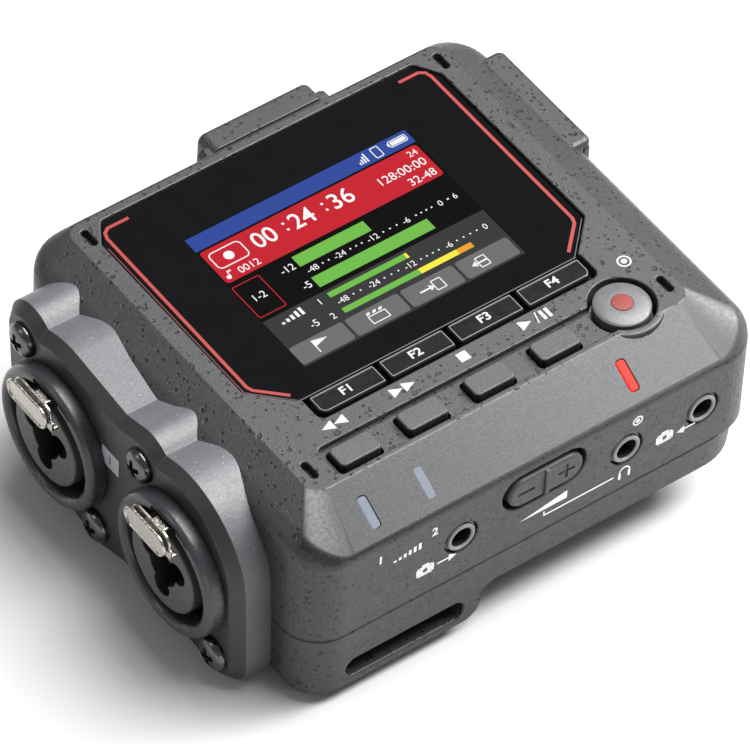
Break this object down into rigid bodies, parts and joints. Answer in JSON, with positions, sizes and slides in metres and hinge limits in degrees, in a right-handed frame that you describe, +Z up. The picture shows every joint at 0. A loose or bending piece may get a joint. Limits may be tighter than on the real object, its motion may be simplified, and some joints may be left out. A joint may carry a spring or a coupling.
{
  "type": "portable field recorder",
  "caption": "Portable audio recorder: low casing with a colour screen, soft keys, transport and record keys on top, combination sockets on the left end and jacks in front.",
  "frame": {"origin": "middle of the outline, on the surface that the feet stand on", "axes": "+Z up out of the screen, +X to the reader's right, +Y towards the top of the screen"},
  "size_m": [0.0984, 0.081, 0.0364],
  "materials": {
    "casing_plastic": "pitted satin moulding",
    "panel_plastic": "satin moulding",
    "cover_gloss": "high gloss",
    "foam": "soft matt",
    "screen": "lit display",
    "flex_film": "satin film",
    "key_gloss": "high gloss",
    "key_matte": "fine grain",
    "signal_red": "satin",
    "light_clear": "frosted",
    "light_red": "lit, frosted",
    "light_housing": "satin",
    "nickel": "satin",
    "latch_nickel": "bright",
    "jack_plastic": "satin",
    "socket_satin": "satin",
    "insert_plastic": "satin",
    "brass": "machined",
    "screw_black": "black oxide, bright edges",
    "board": "solder mask",
    "tray_plastic": "satin",
    "battery_can": "printed sleeve",
    "rubber": "matt"
  },
  "bodies": {
    "recorder": {"top_casing": "casing_plastic", "bottom_casing": "casing_plastic", "input_panel": "panel_plastic", "display_cover": "cover_gloss", "screen_gasket": "foam", "screen_module": "screen", "screen_ribbon": "flex_film", "peak_light_1": "light_clear", "peak_light_2": "light_clear", "record_light": "light_red", "indicator_leds": "light_housing", "rocker_switches": "nickel", "ext_in_jack": "jack_plastic", "phones_jack": "jack_plastic", "line_out_jack": "jack_plastic", "socket_shell_1": "socket_satin", "socket_shell_2": "socket_satin", "socket_insert_1": "insert_plastic", "socket_insert_2": "insert_plastic", "socket_contacts": "brass", "input_screws": "screw_black", "input_board": "board", "board_link": "light_housing", "main_board": "board", "key_switches": "nickel", "battery_tray": "tray_plastic", "batteries": "battery_can", "battery_springs": "nickel", "battery_plates": "nickel", "tripod_insert": "brass", "feet": "rubber", "case_screws": "screw_black", "power_switch": "nickel", "usb_port": "nickel", "card_slot": "nickel", "video_in_port": "nickel", "video_out_port": "nickel", "link_connector": "light_housing"},
    "soft_key_1": {"soft_key_1": "key_gloss"},
    "soft_key_2": {"soft_key_2": "key_gloss"},
    "soft_key_3": {"soft_key_3": "key_gloss"},
    "soft_key_4": {"soft_key_4": "key_gloss"},
    "rewind_key": {"rewind_key": "key_matte"},
    "forward_key": {"forward_key": "key_matte"},
    "stop_key": {"stop_key": "key_matte"},
    "play_key": {"play_key": "key_matte"},
    "record_key": {"record_key": "key_matte", "record_dot": "signal_red"},
    "volume_rocker": {"volume_rocker": "key_matte"},
    "latch_1": {"latch_1": "latch_nickel"},
    "latch_2": {"latch_2": "latch_nickel"},
    "power_knob": {"power_knob": "key_matte"},
    "battery_door": {"battery_door": "casing_plastic"},
    "card_door": {"card_door": "casing_plastic"},
    "link_cover": {"link_cover": "casing_plastic"}
  },
  "joints": [
    {"name": "soft_key_1_press", "type": "slide", "parent": "recorder", "child": "soft_key_1", "axis": [0, 0, -1], "range_m": [0, 0.0004], "stiffness_N_per_m": 3000},
    {"name": "soft_key_2_press", "type": "slide", "parent": "recorder", "child": "soft_key_2", "axis": [0, 0, -1], "range_m": [0, 0.0004], "stiffness_N_per_m": 3000},
    {"name": "soft_key_3_press", "type": "slide", "parent": "recorder", "child": "soft_key_3", "axis": [0, 0, -1], "range_m": [0, 0.0004], "stiffness_N_per_m": 3000},
    {"name": "soft_key_4_press", "type": "slide", "parent": "recorder", "child": "soft_key_4", "axis": [0, 0, -1], "range_m": [0, 0.0004], "stiffness_N_per_m": 3000},
    {"name": "rewind_key_press", "type": "slide", "parent": "recorder", "child": "rewind_key", "axis": [0, 0, -1], "range_m": [0, 0.0004], "stiffness_N_per_m": 3000},
    {"name": "forward_key_press", "type": "slide", "parent": "recorder", "child": "forward_key", "axis": [0, 0, -1], "range_m": [0, 0.0004], "stiffness_N_per_m": 3000},
    {"name": "stop_key_press", "type": "slide", "parent": "recorder", "child": "stop_key", "axis": [0, 0, -1], "range_m": [0, 0.0004], "stiffness_N_per_m": 3000},
    {"name": "play_key_press", "type": "slide", "parent": "recorder", "child": "play_key", "axis": [0, 0, -1], "range_m": [0, 0.0004], "stiffness_N_per_m": 3000},
    {"name": "record_key_press", "type": "slide", "parent": "recorder", "child": "record_key", "axis": [0, 0, -1], "range_m": [0, 0.0004], "stiffness_N_per_m": 3000},
    {"name": "volume_rocker_tilt", "type": "hinge", "parent": "recorder", "child": "volume_rocker", "pos_m": [0.00645, -0.0368, 0.0254], "axis": [0, 0, 1], "range_deg": [-3, 3], "stiffness_Nm_per_rad": 0.25},
    {"name": "latch_1_press", "type": "slide", "parent": "recorder", "child": "latch_1", "axis": [1, 0, 0], "range_m": [0, 0.001], "stiffness_N_per_m": 2500},
    {"name": "latch_2_press", "type": "slide", "parent": "recorder", "child": "latch_2", "axis": [1, 0, 0], "range_m": [0, 0.001], "stiffness_N_per_m": 2500},
    {"name": "power_knob_slide", "type": "slide", "parent": "recorder", "child": "power_knob", "axis": [0, 1, 0], "range_m": [-0.002, 0.002]},
    {"name": "battery_door_hinge", "type": "hinge", "parent": "recorder", "child": "battery_door", "pos_m": [0.02285, 0.0297, 0.0092], "axis": [1, 0, 0], "range_deg": [0, 85]},
    {"name": "card_door_hinge", "type": "hinge", "parent": "recorder", "child": "card_door", "pos_m": [0.0485, 0.01685, 0.0152], "axis": [0, 1, 0], "range_deg": [0, 110]},
    {"name": "link_cover_pull", "type": "slide", "parent": "recorder", "child": "link_cover", "axis": [0, 1, 0], "range_m": [0, 0.008]}
  ]
}
